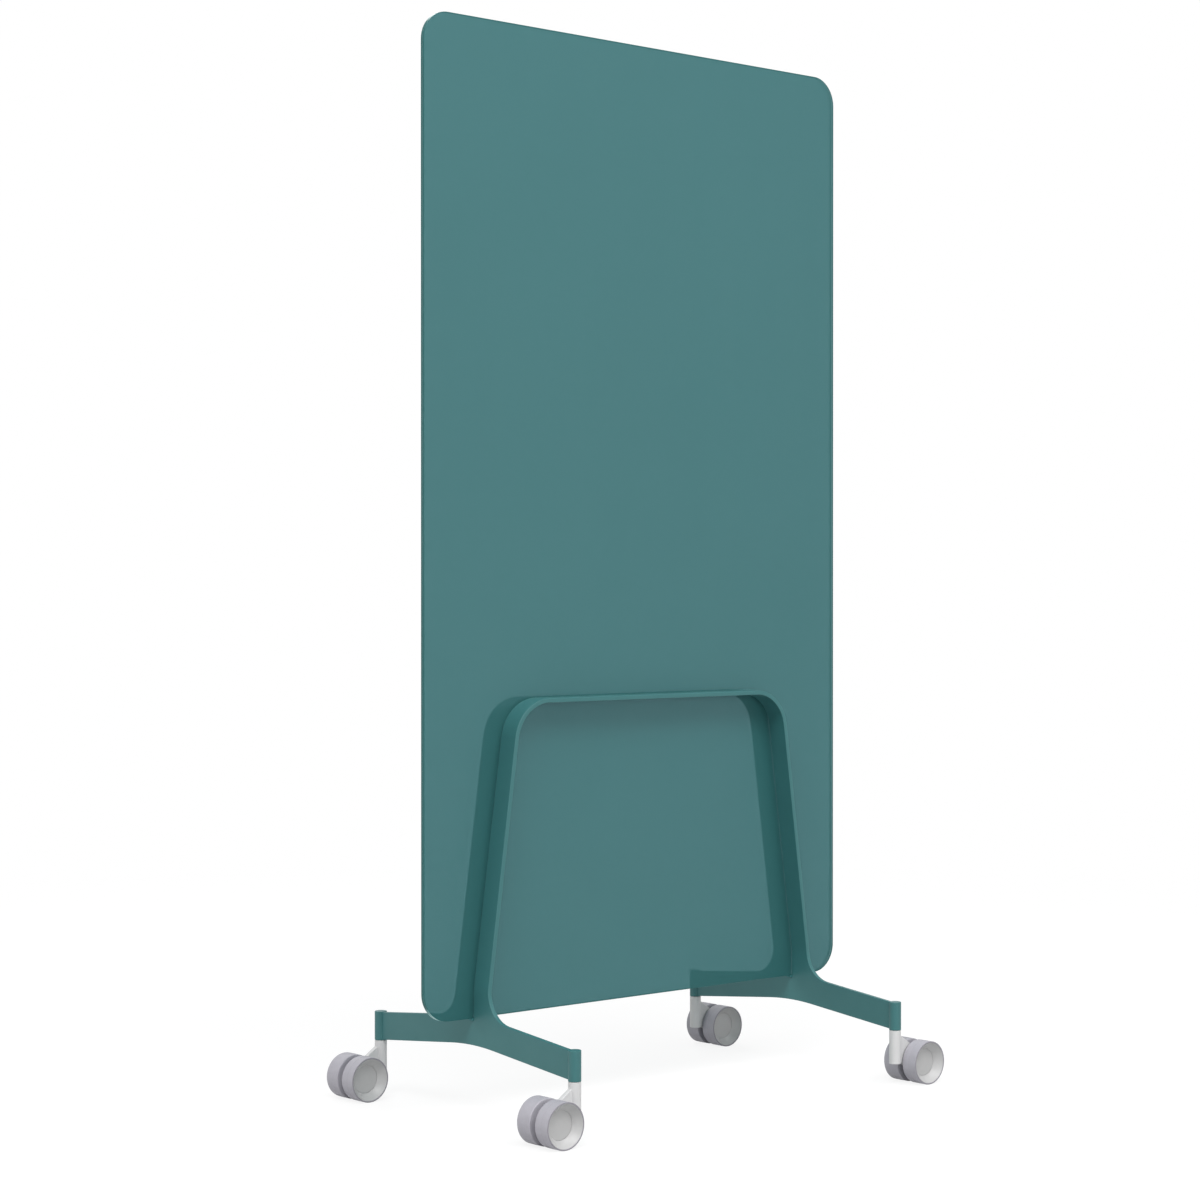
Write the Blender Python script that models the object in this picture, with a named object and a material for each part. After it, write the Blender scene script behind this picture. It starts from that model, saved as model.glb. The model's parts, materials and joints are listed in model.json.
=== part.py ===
"""Mobile glass whiteboard.

A laminated glass board stands between two bent flat-bar hoops, which are welded
to two arched foot plates. Each foot plate ends in two castor sockets.

Metres, +Z up. The origin is on the floor below the middle of the glass, +X runs
along the glass and +Y to the rear.
"""

from math import acos, atan2, cos, hypot, pi, radians, sin, tan

import bmesh
import bpy
from mathutils import Matrix

# Fits
SEAT_GAP = 0.0003
SWIVEL_GAP = 0.0006
CUT_OVERRUN = 0.004

# Glass board: two panes with a coloured interlayer
BOARD_WIDTH = 1.000
BOARD_HEIGHT = 1.7325
BOARD_CORNER_RADIUS = 0.052
PANE_THICKNESS = 0.0039
INTERLAYER_THICKNESS = 0.0004
INTERLAYER_INSET = 0.0008
GLASS_ARRIS = 0.0006

# Hoops of flat bar on edge, one in front of the glass and one behind
BAR_THICKNESS = 0.008
BAND_DEPTH = 0.040
HOOP_RISE = 0.5458
HOOP_CORNER_RADIUS = 0.074
HOOP_LEAN = radians(8.0)
EDGE_BREAK = 0.0008

# Bonding strips between the glass and each hoop
STRIP_THICKNESS = 0.0005
STRIP_INSET = 0.0005

# Foot plates, cut from plate and bent at the top of their upstands
FOOT_SETBACK = 0.1105
FOOT_REACH = 0.270
FOOT_DEPTH = 0.0495
FOOT_SLOPE = radians(6.0)
FOOT_ARCH_RADIUS = 0.560
UPSTAND_FILLET_RADIUS = 0.055
UPSTAND_BEND_RISE = 0.0325
UPSTAND_BEND_RADIUS = 0.150
UPSTAND_TAIL = 0.006

# Slots in the foot plates, with the setting blocks that carry the glass
SLOT_DEPTH = 0.0102
SLOT_SIDE_GAP = 0.0010
BLOCK_THICKNESS = 0.0038
BLOCK_OVERHANG = 0.003
BLOCK_EDGE = 0.0005

# Castor sockets, bored from below, with their bushes
SOCKET_DIAMETER = 0.0225
SOCKET_LENGTH = 0.0516
SOCKET_WALL = 0.0020
SOCKET_ROOF = 0.0030
SOCKET_EDGE = 0.0006
BUSH_LENGTH = 0.0450
BUSH_LEAD_IN = 0.0006

# Castor stems
STEM_DIAMETER = 0.011
STEM_ROOT = 0.018
STEM_REACH = 0.040
STEM_TIP = 0.0015
STEM_GROOVE_DEPTH = 0.0008
STEM_GROOVE_WIDTH = 0.0020

# Castor yokes: a round post, a web between the wheels and a hub
POST_DIAMETER = 0.0222
POST_FOOT = 0.0398
POST_EDGE = 0.0008
WHEEL_HEADROOM = 0.022
POST_TYRE_GAP = 0.0009
WEB_THICKNESS = 0.0092
WEB_DROP = 0.0110
WEB_ROOT_SHARE = 0.5
HUB_RADIUS = 0.0195
AXLE_DIAMETER = 0.008
AXLE_EDGE = 0.0006

# Twin wheels
WHEEL_DIAMETER = 0.080
WHEEL_WIDTH = 0.0324
WHEEL_SIDE_GAP = 0.0022
TYRE_THICKNESS = 0.0033
TYRE_LIP = 0.0017
TYRE_SHOULDER = 0.0016
TYRE_FLANGE_RADIUS = 0.0150
LIP_DEPTH = 0.0040
DISH_DEPTH = 0.0144
DISH_FLOOR_RADIUS = 0.0254
CORE_RECESS = 0.0020
CORE_BOSS_RADIUS = 0.0120
DISC_THICKNESS = 0.0018
DISC_EDGE = 0.0005
AXLE_PLAY = 0.0003

# Facets round each turned or bent form
WHEEL_FACETS = 24
TUBE_FACETS = 20
PIN_FACETS = 12
CORNER_STEPS = 10
HOOP_CORNER_STEPS = 10
BEND_STEPS = 3
FILLET_STEPS = 8
ARCH_STEPS = 4
HUB_STEPS = 8

# Heights, worked out from the floor up
AXLE_HEIGHT = WHEEL_DIAMETER / 2
POST_TOP = WHEEL_DIAMETER + WHEEL_HEADROOM
SOCKET_BOTTOM = POST_TOP + SWIVEL_GAP
SOCKET_MIDDLE = SOCKET_BOTTOM + SOCKET_LENGTH / 2
SOCKET_TOP = SOCKET_BOTTOM + SOCKET_LENGTH
ARM_END = FOOT_REACH - SOCKET_DIAMETER / 2
FOOT_MIDDLE = SOCKET_MIDDLE + ARM_END * tan(FOOT_SLOPE)
FOOT_TOP = FOOT_MIDDLE + FOOT_DEPTH / 2 / cos(FOOT_SLOPE)
FOOT_UNDERSIDE = FOOT_MIDDLE - FOOT_DEPTH / 2 / cos(FOOT_SLOPE)
SLOT_FLOOR = FOOT_TOP - SLOT_DEPTH
BLOCK_BOTTOM = SLOT_FLOOR + SEAT_GAP
BOARD_BOTTOM = BLOCK_BOTTOM + BLOCK_THICKNESS + SEAT_GAP
BEND_START = FOOT_TOP + UPSTAND_BEND_RISE
HOOP_TOP = FOOT_TOP + HOOP_RISE

# Depths, worked out from the middle of the glass
PANE_INNER = INTERLAYER_THICKNESS / 2 + SEAT_GAP
PANE_OUTER = PANE_INNER + PANE_THICKNESS
STRIP_FACE = PANE_OUTER + SEAT_GAP
BAND_FACE = STRIP_FACE + STRIP_THICKNESS + SEAT_GAP
BAND_RIM = BAND_FACE + BAND_DEPTH
SLOT_HALF = PANE_OUTER + SLOT_SIDE_GAP

# Castor sizes that follow from others
FOOT_X = BOARD_WIDTH / 2 - FOOT_SETBACK
TRAIL = WHEEL_DIAMETER / 2 + POST_TYRE_GAP + POST_DIAMETER / 2
WHEEL_INNER = WEB_THICKNESS / 2 + WHEEL_SIDE_GAP
WHEEL_OUTER = WHEEL_INNER + WHEEL_WIDTH
BOSS_FACE = WEB_THICKNESS / 2 + AXLE_PLAY
DRUM_INNER = WHEEL_INNER + CORE_RECESS
DISH_FLOOR = WHEEL_OUTER - DISH_DEPTH
DISC_SEAT = DISH_FLOOR - DISC_THICKNESS - SEAT_GAP
BUSH_BORE = STEM_DIAMETER / 2 + SEAT_GAP
AXLE_BORE = AXLE_DIAMETER / 2 + AXLE_PLAY

# Colours are linear red, green and blue
FRAME_PAINT = ("frame_paint", (0.075, 0.225, 0.225), 0.45, 0.0)
GLASS = ("tinted_glass", (0.075, 0.215, 0.220), 0.10, 0.0)
INTERLAYER = ("coloured_film", (0.045, 0.160, 0.165), 0.50, 0.0)
BONDING = ("bonding_foam", (0.020, 0.045, 0.045), 0.80, 0.0)
BLOCK_RUBBER = ("block_rubber", (0.025, 0.025, 0.025), 0.85, 0.0)
BUSH_PLASTIC = ("bush_plastic", (0.60, 0.60, 0.58), 0.50, 0.0)
STEEL = ("bright_steel", (0.56, 0.57, 0.58), 0.30, 1.0)
CASTOR_PLASTIC = ("castor_plastic", (0.78, 0.78, 0.78), 0.42, 0.0)
TYRE_RUBBER = ("tyre_rubber", (0.33, 0.32, 0.35), 0.60, 0.0)
DISC_PLASTIC = ("disc_plastic", (0.47, 0.47, 0.47), 0.50, 0.0)


def clear_scene():
    """Empties the scene."""
    for existing in list(bpy.data.objects):
        bpy.data.objects.remove(existing, do_unlink=True)


def material(finish):
    """Gives the Principled material of a finish, made the first time."""
    name, colour, roughness, metallic = finish
    found = bpy.data.materials.get(name)
    if found:
        return found
    made = bpy.data.materials.new(name)
    made.use_nodes = True
    shader = made.node_tree.nodes["Principled BSDF"]
    shader.inputs["Base Color"].default_value = (*colour, 1.0)
    shader.inputs["Roughness"].default_value = roughness
    shader.inputs["Metallic"].default_value = metallic
    return made


def closed_mesh(name, bm, finish, smooth_angle=radians(35)):
    """Turns a bmesh into a mesh with its faces outward and its round sides smooth."""
    bmesh.ops.recalc_face_normals(bm, faces=bm.faces[:])
    mesh = bpy.data.meshes.new(name)
    bm.to_mesh(mesh)
    bm.free()
    mesh.materials.append(material(finish))
    mesh.shade_smooth()
    mesh.set_sharp_from_angle(angle=smooth_angle)
    return mesh


def add_object(name, mesh, parent=None, matrix=None):
    """Adds an object for a mesh, or an empty where the mesh is None."""
    made = bpy.data.objects.new(name, mesh)
    bpy.context.scene.collection.objects.link(made)
    if matrix is not None:
        made.matrix_local = matrix
    made.parent = parent
    return made


def break_edges(piece, width, sharp_angle=radians(40)):
    """Takes the sharp edges off with one chamfer."""
    bevel = piece.modifiers.new("edge_break", "BEVEL")
    bevel.width = width
    bevel.segments = 1
    bevel.limit_method = "ANGLE"
    bevel.angle_limit = sharp_angle
    return bevel


def arc(centre_u, centre_v, radius, start, end, steps):
    """Points on an arc, both ends included."""
    points = []
    for step in range(steps + 1):
        angle = start + (end - start) * step / steps
        points.append((centre_u + radius * cos(angle), centre_v + radius * sin(angle)))
    return points


def turned(profile, facets, bored):
    """Turns a profile of (radius, height) round Z. A bored one closes on itself, any other is capped."""
    bm = bmesh.new()
    rings = []
    for radius, height in profile:
        ring = []
        for index in range(facets):
            angle = 2 * pi * (index + 0.5) / facets
            ring.append(bm.verts.new((radius * cos(angle), radius * sin(angle), height)))
        rings.append(ring)
    pairs = list(zip(rings, rings[1:]))
    if bored:
        pairs.append((rings[-1], rings[0]))
    for lower, upper in pairs:
        for index in range(facets):
            after = (index + 1) % facets
            bm.faces.new((lower[index], lower[after], upper[after], upper[index]))
    if not bored:
        bm.faces.new(rings[0])
        bm.faces.new(rings[-1])
    return bm


def flat_sided(profile, facets):
    """Moves a profile's radii out to the corners, so that its flats lie at the stated radii."""
    return [(radius / cos(pi / facets), height) for radius, height in profile]


def lay_along_y(bm):
    """Turns a form made round Z so that its axis lies along +Y."""
    bmesh.ops.rotate(bm, verts=bm.verts, cent=(0, 0, 0), matrix=Matrix.Rotation(-pi / 2, 3, "X"))


def extruded(outline, depth_from, depth_to):
    """Extrudes an outline of (x, z) points along Y."""
    bm = bmesh.new()
    near = [bm.verts.new((x, depth_from, z)) for x, z in outline]
    face = bm.faces.new(near)
    moved = bmesh.ops.extrude_face_region(bm, geom=[face])["geom"]
    far = [item for item in moved if isinstance(item, bmesh.types.BMVert)]
    bmesh.ops.translate(bm, verts=far, vec=(0, depth_to - depth_from, 0))
    return bm


def board_outline(inset):
    """Rounded rectangle of the glass, drawn in by the inset."""
    half = BOARD_WIDTH / 2 - inset
    bottom = BOARD_BOTTOM + inset
    top = BOARD_BOTTOM + BOARD_HEIGHT - inset
    radius = BOARD_CORNER_RADIUS - inset
    points = arc(half - radius, top - radius, radius, 0, pi / 2, CORNER_STEPS)
    points += arc(radius - half, top - radius, radius, pi / 2, pi, CORNER_STEPS)
    points += arc(radius - half, bottom + radius, radius, pi, 3 * pi / 2, CORNER_STEPS)
    points += arc(half - radius, bottom + radius, radius, 3 * pi / 2, 2 * pi, CORNER_STEPS)
    return points


def build_board():
    """Front pane, interlayer and rear pane."""
    layers = (
        ("front_glass_pane", -PANE_OUTER, -PANE_INNER, 0, GLASS),
        ("colour_interlayer", -INTERLAYER_THICKNESS / 2, INTERLAYER_THICKNESS / 2, INTERLAYER_INSET, INTERLAYER),
        ("rear_glass_pane", PANE_INNER, PANE_OUTER, 0, GLASS),
    )
    for name, near, far, inset, finish in layers:
        bm = extruded(board_outline(inset), near, far)
        layer = add_object(name, closed_mesh(name, bm, finish))
        if inset == 0:
            break_edges(layer, GLASS_ARRIS)


def fillet_foot():
    """Where the fillet meets the sloping top of the foot's arm, as (y, z)."""
    across = BAND_RIM + UPSTAND_FILLET_RADIUS * (1 - sin(FOOT_SLOPE))
    return across, FOOT_TOP - across * tan(FOOT_SLOPE)


def fillet_centre():
    """Centre of the fillet between the arm and the upstand, as (y, z)."""
    across, height = fillet_foot()
    return BAND_RIM + UPSTAND_FILLET_RADIUS, height + UPSTAND_FILLET_RADIUS * cos(FOOT_SLOPE)


def bend_length():
    """Length of the upstand's bend along the middle of the plate."""
    return UPSTAND_BEND_RADIUS * HOOP_LEAN


def upstand_length():
    """Height of the weld line on the plate before it is bent."""
    bend_end = BEND_START + bend_length()
    return max(bend_end, fillet_centre()[1]) + UPSTAND_TAIL


def bent_place(height):
    """Place of a flat height after the bend: (x, z) on the plate's middle, and the lean there."""
    turn = min(max((height - BEND_START) / UPSTAND_BEND_RADIUS, 0), HOOP_LEAN)
    x = FOOT_X - UPSTAND_BEND_RADIUS * (1 - cos(turn))
    z = min(height, BEND_START) + UPSTAND_BEND_RADIUS * sin(turn)
    past = max(height - BEND_START - bend_length(), 0)
    return x - past * sin(turn), z + past * cos(turn), turn


def hoop_path():
    """Middle line of a hoop from the right weld to the left one, as (x, z, direction out of the loop)."""
    weld_x, weld_z, lean = bent_place(upstand_length())
    start_x = weld_x - SEAT_GAP * sin(lean)
    start_z = weld_z + SEAT_GAP * cos(lean)
    centre_z = HOOP_TOP - BAR_THICKNESS / 2 - HOOP_CORNER_RADIUS
    leg_rise = centre_z + HOOP_CORNER_RADIUS * sin(lean) - start_z
    centre_x = start_x - leg_rise * tan(lean) - HOOP_CORNER_RADIUS * cos(lean)
    right = [(start_x, start_z, lean)]
    for step in range(HOOP_CORNER_STEPS + 1):
        angle = lean + (pi / 2 - lean) * step / HOOP_CORNER_STEPS
        x = centre_x + HOOP_CORNER_RADIUS * cos(angle)
        z = centre_z + HOOP_CORNER_RADIUS * sin(angle)
        right.append((x, z, angle))
    left = [(-x, z, pi - angle) for x, z, angle in reversed(right)]
    return right + left


def swept_band(half_thickness, near, far):
    """A flat section swept along the hoop path, from one depth to another."""
    bm = bmesh.new()
    rings = []
    for x, z, angle in hoop_path():
        out_x = half_thickness * cos(angle)
        out_z = half_thickness * sin(angle)
        corners = ((1, near), (1, far), (-1, far), (-1, near))
        rings.append([bm.verts.new((x + side * out_x, y, z + side * out_z)) for side, y in corners])
    for before, after in zip(rings, rings[1:]):
        for index in range(4):
            following = (index + 1) % 4
            bm.faces.new((before[index], before[following], after[following], after[index]))
    bm.faces.new(rings[0])
    bm.faces.new(rings[-1])
    return bm


def build_hoops():
    """The two hoops and the bonding strips that hold the glass between them."""
    for side, name in ((-1, "front"), (1, "rear")):
        bm = swept_band(BAR_THICKNESS / 2, side * BAND_FACE, side * BAND_RIM)
        hoop = add_object(name + "_hoop", closed_mesh(name + "_hoop", bm, FRAME_PAINT))
        break_edges(hoop, EDGE_BREAK)
        strip_edge = STRIP_FACE + STRIP_THICKNESS
        bm = swept_band(BAR_THICKNESS / 2 - STRIP_INSET, side * STRIP_FACE, side * strip_edge)
        strip_name = name + "_bonding_strip"
        add_object(strip_name, closed_mesh(strip_name, bm, BONDING))


def foot_half_outline():
    """Outline of a flat foot plate on the +Y side, from the arch's crown to the slot's floor."""
    crown_z = FOOT_UNDERSIDE - FOOT_ARCH_RADIUS / cos(FOOT_SLOPE)
    points = arc(0, crown_z, FOOT_ARCH_RADIUS, pi / 2, pi / 2 - FOOT_SLOPE, ARCH_STEPS)
    points.append((FOOT_REACH, FOOT_UNDERSIDE - FOOT_REACH * tan(FOOT_SLOPE)))
    points.append((FOOT_REACH, FOOT_TOP - FOOT_REACH * tan(FOOT_SLOPE)))
    centre_y, centre_z = fillet_centre()
    foot_y, foot_z = fillet_foot()
    start = atan2(foot_z - centre_z, foot_y - centre_y)
    points += arc(centre_y, centre_z, UPSTAND_FILLET_RADIUS, start, -pi, FILLET_STEPS)
    points.append((BAND_RIM, upstand_length()))
    points.append((BAND_FACE, upstand_length()))
    points.append((BAND_FACE, FOOT_TOP))
    points.append((SLOT_HALF, FOOT_TOP - (BAND_FACE - SLOT_HALF)))
    points.append((SLOT_HALF, SLOT_FLOOR))
    return points


def foot_outline():
    """The whole outline of a foot plate, the same in front and behind."""
    rear = foot_half_outline()
    front = [(-y, z) for y, z in reversed(rear) if y > 0]
    return rear + front


def bend_upstands(bm, side):
    """Leans what stands above the bend line towards the middle of the board."""
    stations = [BEND_START + bend_length() * step / BEND_STEPS for step in range(BEND_STEPS + 1)]
    for height in stations:
        parts = bm.verts[:] + bm.edges[:] + bm.faces[:]
        bmesh.ops.bisect_plane(bm, geom=parts, plane_co=(0, 0, height), plane_no=(0, 0, 1))
    for vert in bm.verts:
        height = vert.co.z
        off_middle = vert.co.x
        below = max([station for station in stations if station <= height], default=None)
        above = min([station for station in stations if station > height], default=None)
        if below is None or above is None:
            x, z, turn = bent_place(height)
        else:
            share = (height - below) / (above - below)
            low = bent_place(below)
            high = bent_place(above)
            x, z, turn = (a + (b - a) * share for a, b in zip(low, high))
        vert.co.x = side * (x + off_middle * cos(turn))
        vert.co.z = z + off_middle * sin(turn)


def socket_cutter(name, side, y):
    """Cuts the end of an arm to the round of its socket."""
    radius = SOCKET_DIAMETER / 2 + SEAT_GAP
    bottom = SOCKET_BOTTOM - CUT_OVERRUN
    top = SOCKET_TOP + CUT_OVERRUN
    bm = turned(flat_sided([(radius, bottom), (radius, top)], TUBE_FACETS), TUBE_FACETS, False)
    place = Matrix.Translation((side * FOOT_X, y, 0))
    cutter = add_object(name, closed_mesh(name, bm, FRAME_PAINT), None, place)
    cutter.hide_render = True
    cutter.display_type = "WIRE"
    return cutter


def build_foot_plates():
    """The two arched foot plates with their bent upstands and glass slots."""
    for side, name in ((-1, "left"), (1, "right")):
        bm = bmesh.new()
        near = [bm.verts.new((-BAR_THICKNESS / 2, y, z)) for y, z in foot_outline()]
        face = bm.faces.new(near)
        moved = bmesh.ops.extrude_face_region(bm, geom=[face])["geom"]
        far = [item for item in moved if isinstance(item, bmesh.types.BMVert)]
        bmesh.ops.translate(bm, verts=far, vec=(BAR_THICKNESS, 0, 0))
        bend_upstands(bm, side)
        plate_name = name + "_foot_plate"
        plate = add_object(plate_name, closed_mesh(plate_name, bm, FRAME_PAINT))
        break_edges(plate, EDGE_BREAK)
        for y, end in ((-FOOT_REACH, "front"), (FOOT_REACH, "rear")):
            cut = plate.modifiers.new(end + "_cope", "BOOLEAN")
            cut.operation = "DIFFERENCE"
            cut.solver = "EXACT"
            cut.object = socket_cutter(name + "_" + end + "_cope_cutter", side, y)


def build_setting_blocks():
    """Rubber pads in the slots, which carry the weight of the glass."""
    half_length = BAR_THICKNESS / 2 + BLOCK_OVERHANG
    half_width = SLOT_HALF - SEAT_GAP
    top = BLOCK_BOTTOM + BLOCK_THICKNESS
    for side, name in ((-1, "left"), (1, "right")):
        x = side * FOOT_X
        outline = (
            (x - half_length, BLOCK_BOTTOM),
            (x + half_length, BLOCK_BOTTOM),
            (x + half_length, top),
            (x - half_length, top),
        )
        block_name = name + "_setting_block"
        bm = extruded(outline, -half_width, half_width)
        block = add_object(block_name, closed_mesh(block_name, bm, BLOCK_RUBBER))
        break_edges(block, BLOCK_EDGE)


def socket_mesh():
    """A round socket with a closed top, its bore open below."""
    radius = SOCKET_DIAMETER / 2
    bore = radius - SOCKET_WALL
    roof = SOCKET_TOP - SOCKET_ROOF
    profile = (
        (bore, roof),
        (bore, SOCKET_BOTTOM),
        (radius - SOCKET_EDGE, SOCKET_BOTTOM),
        (radius, SOCKET_BOTTOM + SOCKET_EDGE),
        (radius, SOCKET_TOP - SOCKET_EDGE),
        (radius - SOCKET_EDGE, SOCKET_TOP),
    )
    return closed_mesh("castor_socket", turned(profile, TUBE_FACETS, False), FRAME_PAINT)


def bush_mesh():
    """A plain sleeve in the socket's bore, with a lead-in for the stem."""
    outer = SOCKET_DIAMETER / 2 - SOCKET_WALL - SEAT_GAP
    bottom = SOCKET_BOTTOM
    top = bottom + BUSH_LENGTH
    profile = (
        (BUSH_BORE, bottom + BUSH_LEAD_IN),
        (BUSH_BORE + BUSH_LEAD_IN, bottom),
        (outer, bottom),
        (outer, top),
        (BUSH_BORE, top),
    )
    return closed_mesh("stem_bush", turned(profile, PIN_FACETS, True), BUSH_PLASTIC)


def stem_mesh():
    """The stem, rooted in the post, with a groove near its tip."""
    radius = STEM_DIAMETER / 2
    root = POST_TOP - STEM_ROOT
    tip = POST_TOP + STEM_REACH
    groove_top = tip - 2 * STEM_TIP
    groove_bottom = groove_top - STEM_GROOVE_WIDTH
    profile = (
        (radius - STEM_TIP, root),
        (radius, root + STEM_TIP),
        (radius, groove_bottom),
        (radius - STEM_GROOVE_DEPTH, groove_bottom),
        (radius - STEM_GROOVE_DEPTH, groove_top),
        (radius, groove_top),
        (radius, tip - STEM_TIP),
        (radius - STEM_TIP, tip),
    )
    return closed_mesh("castor_stem", turned(profile, PIN_FACETS, False), STEEL)


def post_bm():
    """The post of the yoke, bored from above for the stem."""
    radius = POST_DIAMETER / 2
    bore = STEM_DIAMETER / 2 + SEAT_GAP
    profile = (
        (bore, POST_TOP - STEM_ROOT - SEAT_GAP),
        (bore, POST_TOP),
        (radius - POST_EDGE, POST_TOP),
        (radius, POST_TOP - POST_EDGE),
        (radius, POST_FOOT + POST_EDGE),
        (radius - POST_EDGE, POST_FOOT),
    )
    return turned(profile, TUBE_FACETS, False)


def tangent_angle(across, height, side):
    """Angle round the hub at which a line from a point touches it. The side is 1 above and -1 below."""
    away_x = across - TRAIL
    away_z = height - AXLE_HEIGHT
    opening = acos(HUB_RADIUS / hypot(away_x, away_z))
    return atan2(away_z, away_x) - side * opening


def web_outline():
    """Side view of the web: two straight edges from the post, which touch the round of the hub."""
    skin = POST_DIAMETER / 2
    root = skin * WEB_ROOT_SHARE
    top = POST_TOP - WEB_DROP
    bottom = POST_FOOT + POST_EDGE
    upper = tangent_angle(skin, top, 1)
    lower = tangent_angle(skin, bottom, -1) - 2 * pi
    points = [(skin, bottom), (root, bottom), (root, top), (skin, top)]
    points += arc(TRAIL, AXLE_HEIGHT, HUB_RADIUS, upper, lower, HUB_STEPS)
    return points


def joined(base, other, operation):
    """Joins another object to the base, or cuts it away."""
    step = base.modifiers.new(operation.lower(), "BOOLEAN")
    step.operation = operation
    step.solver = "EXACT"
    step.object = other


def yoke_mesh():
    """Post, web and hub in one body, with the axle's bore."""
    post = add_object("yoke_post", closed_mesh("yoke_post", post_bm(), CASTOR_PLASTIC))
    web_half = WEB_THICKNESS / 2
    web = add_object("yoke_web", closed_mesh("yoke_web", extruded(web_outline(), -web_half, web_half), CASTOR_PLASTIC))
    bore = AXLE_DIAMETER / 2 + SEAT_GAP
    reach = web_half + CUT_OVERRUN
    bm = turned([(bore, -reach), (bore, reach)], PIN_FACETS, False)
    lay_along_y(bm)
    drill = add_object("axle_drill", closed_mesh("axle_drill", bm, STEEL))
    drill.location = (TRAIL, 0, AXLE_HEIGHT)
    joined(post, web, "UNION")
    joined(post, drill, "DIFFERENCE")
    bpy.context.view_layer.update()
    evaluated = post.evaluated_get(bpy.context.evaluated_depsgraph_get())
    mesh = bpy.data.meshes.new_from_object(evaluated)
    mesh.name = "castor_yoke"
    for helper in (post, web, drill):
        bpy.data.objects.remove(helper, do_unlink=True)
    return mesh


def axle_mesh():
    """The axle through the yoke's hub and both wheels."""
    radius = AXLE_DIAMETER / 2
    end = DISC_SEAT - SEAT_GAP
    profile = (
        (radius - AXLE_EDGE, -end),
        (radius, AXLE_EDGE - end),
        (radius, end - AXLE_EDGE),
        (radius - AXLE_EDGE, end),
    )
    bm = turned(profile, PIN_FACETS, False)
    lay_along_y(bm)
    return closed_mesh("castor_axle", bm, STEEL)


def tyre_mesh():
    """The tyre: a flange over the core's inner side, the tread, and a thin lip over the outer edge."""
    tread = WHEEL_DIAMETER / 2
    bore = tread - TYRE_THICKNESS
    profile = (
        (bore, DRUM_INNER - SEAT_GAP),
        (TYRE_FLANGE_RADIUS, DRUM_INNER - SEAT_GAP),
        (TYRE_FLANGE_RADIUS, WHEEL_INNER),
        (tread - TYRE_SHOULDER, WHEEL_INNER),
        (tread, WHEEL_INNER + TYRE_SHOULDER),
        (tread, WHEEL_OUTER - TYRE_SHOULDER),
        (tread - TYRE_LIP, WHEEL_OUTER),
        (bore, WHEEL_OUTER - LIP_DEPTH),
    )
    bm = turned(flat_sided(profile, WHEEL_FACETS), WHEEL_FACETS, True)
    lay_along_y(bm)
    return closed_mesh("tyre", bm, TYRE_RUBBER)


def core_mesh():
    """The wheel core: a boss that meets the yoke's hub, and a drum with a deep conical dish outside."""
    drum = WHEEL_DIAMETER / 2 - TYRE_THICKNESS - SEAT_GAP
    mouth = WHEEL_DIAMETER / 2 - TYRE_LIP - SEAT_GAP
    profile = (
        (AXLE_BORE, BOSS_FACE),
        (CORE_BOSS_RADIUS, BOSS_FACE),
        (CORE_BOSS_RADIUS, DRUM_INNER),
        (drum, DRUM_INNER),
        (drum, WHEEL_OUTER - LIP_DEPTH),
        (mouth, WHEEL_OUTER - SEAT_GAP),
        (DISH_FLOOR_RADIUS + SEAT_GAP, DISH_FLOOR),
        (DISH_FLOOR_RADIUS + SEAT_GAP, DISC_SEAT),
        (AXLE_BORE, DISC_SEAT),
    )
    bm = turned(flat_sided(profile, WHEEL_FACETS), WHEEL_FACETS, True)
    lay_along_y(bm)
    return closed_mesh("wheel_core", bm, CASTOR_PLASTIC)


def disc_mesh():
    """The disc that closes the bottom of the dish."""
    profile = (
        (DISH_FLOOR_RADIUS, DISC_SEAT + SEAT_GAP),
        (DISH_FLOOR_RADIUS, DISH_FLOOR - DISC_EDGE),
        (DISH_FLOOR_RADIUS - DISC_EDGE, DISH_FLOOR),
    )
    bm = turned(flat_sided(profile, WHEEL_FACETS), WHEEL_FACETS, False)
    lay_along_y(bm)
    return closed_mesh("hub_disc", bm, DISC_PLASTIC)


def build_castors():
    """Four sockets with their bushes, and the castors that swivel in them."""
    socket = socket_mesh()
    bush = bush_mesh()
    stem = stem_mesh()
    yoke = yoke_mesh()
    axle = axle_mesh()
    wheel_pieces = (("wheel_core", core_mesh()), ("tyre", tyre_mesh()), ("hub_disc", disc_mesh()))
    for end, y in (("front", -FOOT_REACH), ("rear", FOOT_REACH)):
        for hand, side in (("left", -1), ("right", 1)):
            corner = end + "_" + hand
            place = Matrix.Translation((side * FOOT_X, y, 0))
            add_object(corner + "_socket", socket, None, place)
            add_object(corner + "_bush", bush, None, place)
            heading = Matrix.Rotation(0 if side > 0 else pi, 4, "Z")
            swivel = add_object(corner + "_swivel", None, None, place @ heading)
            add_object(corner + "_stem", stem, swivel)
            add_object(corner + "_yoke", yoke, swivel)
            hub = Matrix.Translation((TRAIL, 0, AXLE_HEIGHT))
            add_object(corner + "_axle", axle, swivel, hub)
            for local_side in (-1, 1):
                world_side = local_side * side
                position = "outer" if world_side * y > 0 else "inner"
                facing = Matrix.Rotation(0 if local_side > 0 else pi, 4, "Z")
                spin_name = corner + "_" + position + "_spin"
                spin = add_object(spin_name, None, swivel, hub @ facing)
                for piece, mesh in wheel_pieces:
                    add_object(corner + "_" + position + "_" + piece, mesh, spin)


def build():
    """Builds the whole board."""
    clear_scene()
    build_board()
    build_hoops()
    build_foot_plates()
    build_setting_blocks()
    build_castors()
    bpy.context.view_layer.update()


build()
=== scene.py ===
"""Mobile glass whiteboard: the finished pieces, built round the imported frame.

Metres, +Z up. The origin is on the floor below the middle of the glass, +X runs
along the glass and +Y to the rear.
"""

import json
from math import acos, atan2, cos, hypot, pi, radians, sin, tan

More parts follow.
